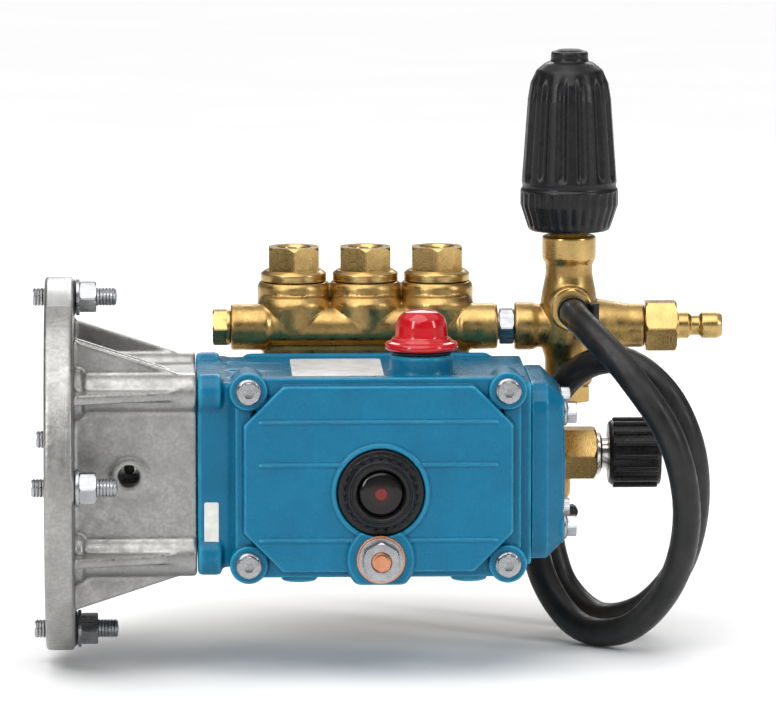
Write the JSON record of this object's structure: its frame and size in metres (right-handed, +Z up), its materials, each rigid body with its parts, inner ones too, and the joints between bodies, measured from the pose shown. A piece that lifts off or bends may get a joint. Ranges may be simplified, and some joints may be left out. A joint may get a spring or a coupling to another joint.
{
  "type": "pressure washer pump",
  "caption": "Triplex plunger pump with a direct-drive bell housing, brass valve head, pressure unloader with a knob, bypass hose and garden-hose inlet.",
  "frame": {"origin": "centre of the engine flange's face, on the crankshaft's axis", "axes": "+X along the crankshaft away from the engine, +Y from the rear cover to the brass head, +Z up"},
  "size_m": [0.339, 0.2373, 0.2955],
  "materials": {
    "cast_aluminium": "as-cast, fine sand texture, machined flange face",
    "blue_enamel": "satin enamel over smooth casting",
    "brass": "forged and machined, satin",
    "bronze": "cast, machined bore",
    "zinc_plated_steel": "bright zinc plate",
    "ground_steel": "ground and turned",
    "nickel_plate": "nickel plate",
    "red_plastic": "moulded, glossy",
    "black_plastic": "moulded, semi-gloss",
    "black_rubber": "smooth extruded cover",
    "white_ceramic": "polished alumina",
    "clear_lens": "clear lens over oil"
  },
  "bodies": {
    "pump": {"bearing_cover": "blue_enamel", "bell_housing": "cast_aluminium", "bypass_barb": "brass", "bypass_hose": "black_rubber", "cover_screw_1": "zinc_plated_steel", "cover_screw_2": "zinc_plated_steel", "cover_screw_3": "zinc_plated_steel", "cover_screw_4": "zinc_plated_steel", "crankcase": "blue_enamel", "discharge_gallery_plug": "brass", "discharge_nipple": "zinc_plated_steel", "discharge_valve_plug_1": "brass", "discharge_valve_plug_2": "brass", "discharge_valve_plug_3": "brass", "drain_plug": "zinc_plated_steel", "drive_bearing": "ground_steel", "end_bearing": "ground_steel", "inlet_gallery_plug": "brass", "inlet_tee": "brass", "inlet_valve_plug_1": "brass", "inlet_valve_plug_2": "brass", "inlet_valve_plug_3": "brass", "manifold_head": "brass", "outlet_plug": "brass", "plunger_packing_1": "black_rubber", "plunger_packing_2": "black_rubber", "plunger_packing_3": "black_rubber", "rear_cover": "blue_enamel", "shaft_seal": "black_rubber", "sight_gauge": "black_plastic", "sight_lens": "clear_lens", "swivel_tailpiece": "nickel_plate", "unloader_body": "brass", "unloader_end_plug": "brass", "unloader_spring": "ground_steel"},
    "crankshaft": {"crankshaft": "ground_steel"},
    "pressure_knob": {"unloader_knob": "black_plastic"},
    "spring_seat": {"unloader_spring_seat": "ground_steel"},
    "unloader_piston": {"unloader_piston": "ground_steel"},
    "filler_seal": {"filler_cap_seal": "black_rubber"},
    "filler_cap": {"oil_filler_cap": "red_plastic"},
    "inlet_collar": {"inlet_swivel_collar": "black_plastic"},
    "rod_1": {"connecting_rod_1": "bronze", "wrist_pin_1": "ground_steel"},
    "plunger_1": {"crosshead_1": "ground_steel", "ceramic_plunger_1": "white_ceramic"},
    "discharge_valve_1": {"discharge_valve_1": "ground_steel"},
    "inlet_valve_1": {"inlet_valve_1": "ground_steel"},
    "rod_2": {"connecting_rod_2": "bronze", "wrist_pin_2": "ground_steel"},
    "plunger_2": {"crosshead_2": "ground_steel", "ceramic_plunger_2": "white_ceramic"},
    "discharge_valve_2": {"discharge_valve_2": "ground_steel"},
    "inlet_valve_2": {"inlet_valve_2": "ground_steel"},
    "rod_3": {"connecting_rod_3": "bronze", "wrist_pin_3": "ground_steel"},
    "plunger_3": {"crosshead_3": "ground_steel", "ceramic_plunger_3": "white_ceramic"},
    "discharge_valve_3": {"discharge_valve_3": "ground_steel"},
    "inlet_valve_3": {"inlet_valve_3": "ground_steel"}
  },
  "joints": [
    {"name": "crankshaft_spin", "type": "hinge", "parent": "pump", "child": "crankshaft", "pos_m": [0, 0, 0], "axis": [1, 0, 0], "continuous": true},
    {"name": "rod_1_swing", "type": "hinge", "parent": "crankshaft", "child": "rod_1", "pos_m": [0.124, 0, 0.004], "axis": [1, 0, 0], "continuous": true},
    {"name": "rod_2_swing", "type": "hinge", "parent": "crankshaft", "child": "rod_2", "pos_m": [0.16, -0.00346, -0.002], "axis": [1, 0, 0], "continuous": true},
    {"name": "rod_3_swing", "type": "hinge", "parent": "crankshaft", "child": "rod_3", "pos_m": [0.196, 0.00346, -0.002], "axis": [1, 0, 0], "continuous": true},
    {"name": "plunger_1_slide", "type": "slide", "parent": "pump", "child": "plunger_1", "axis": [0, 1, 0], "range_m": [-0.004, 0.004]},
    {"name": "plunger_2_slide", "type": "slide", "parent": "pump", "child": "plunger_2", "axis": [0, 1, 0], "range_m": [-0.00054, 0.00746]},
    {"name": "plunger_3_slide", "type": "slide", "parent": "pump", "child": "plunger_3", "axis": [0, 1, 0], "range_m": [-0.00746, 0.00054]},
    {"name": "discharge_valve_1_lift", "type": "slide", "parent": "pump", "child": "discharge_valve_1", "axis": [0, 0, 1], "range_m": [0, 0.0025], "stiffness_N_per_m": 200, "springref_m": -0.005},
    {"name": "inlet_valve_1_lift", "type": "slide", "parent": "pump", "child": "inlet_valve_1", "axis": [0, -1, 0], "range_m": [0, 0.0025], "stiffness_N_per_m": 200, "springref_m": -0.005},
    {"name": "discharge_valve_2_lift", "type": "slide", "parent": "pump", "child": "discharge_valve_2", "axis": [0, 0, 1], "range_m": [0, 0.0025], "stiffness_N_per_m": 200, "springref_m": -0.005},
    {"name": "inlet_valve_2_lift", "type": "slide", "parent": "pump", "child": "inlet_valve_2", "axis": [0, -1, 0], "range_m": [0, 0.0025], "stiffness_N_per_m": 200, "springref_m": -0.005},
    {"name": "discharge_valve_3_lift", "type": "slide", "parent": "pump", "child": "discharge_valve_3", "axis": [0, 0, 1], "range_m": [0, 0.0025], "stiffness_N_per_m": 200, "springref_m": -0.005},
    {"name": "inlet_valve_3_lift", "type": "slide", "parent": "pump", "child": "inlet_valve_3", "axis": [0, -1, 0], "range_m": [0, 0.0025], "stiffness_N_per_m": 200, "springref_m": -0.005},
    {"name": "knob_rise", "type": "slide", "parent": "pump", "child": "spring_seat", "axis": [0, 0, -1], "range_m": [-0.006, 0.00225], "deforming": ["unloader_spring"]},
    {"name": "knob_turn", "type": "hinge", "parent": "spring_seat", "child": "pressure_knob", "pos_m": [0.262, 0.072, 0.1065], "axis": [0, 0, -1], "range_deg": [-1440, 540]},
    {"name": "unloader_piston_lift", "type": "slide", "parent": "pump", "child": "unloader_piston", "axis": [0, 0, 1], "range_m": [0, 0.0015], "stiffness_N_per_m": 2000, "springref_m": -0.002},
    {"name": "filler_rise", "type": "slide", "parent": "pump", "child": "filler_seal", "axis": [0, 0, 1], "range_m": [0, 0.012]},
    {"name": "filler_turn", "type": "hinge", "parent": "filler_seal", "child": "filler_cap", "pos_m": [0.184, -0.025, 0.057], "axis": [0, 0, 1], "range_deg": [0, 2160]},
    {"name": "collar_spin", "type": "hinge", "parent": "pump", "child": "inlet_collar", "pos_m": [0.2845, 0.11, -0.012], "axis": [1, 0, 0], "continuous": true}
  ],
  "couplings": [
    {"joint": "rod_1_swing", "follows": "crankshaft_spin", "ratio": -1},
    {"joint": "rod_2_swing", "follows": "crankshaft_spin", "ratio": -1},
    {"joint": "rod_3_swing", "follows": "crankshaft_spin", "ratio": -1},
    {"joint": "knob_rise", "follows": "knob_turn", "m_per_rad": 0.00023873},
    {"joint": "filler_rise", "follows": "filler_turn", "m_per_rad": 0.00031831}
  ]
}
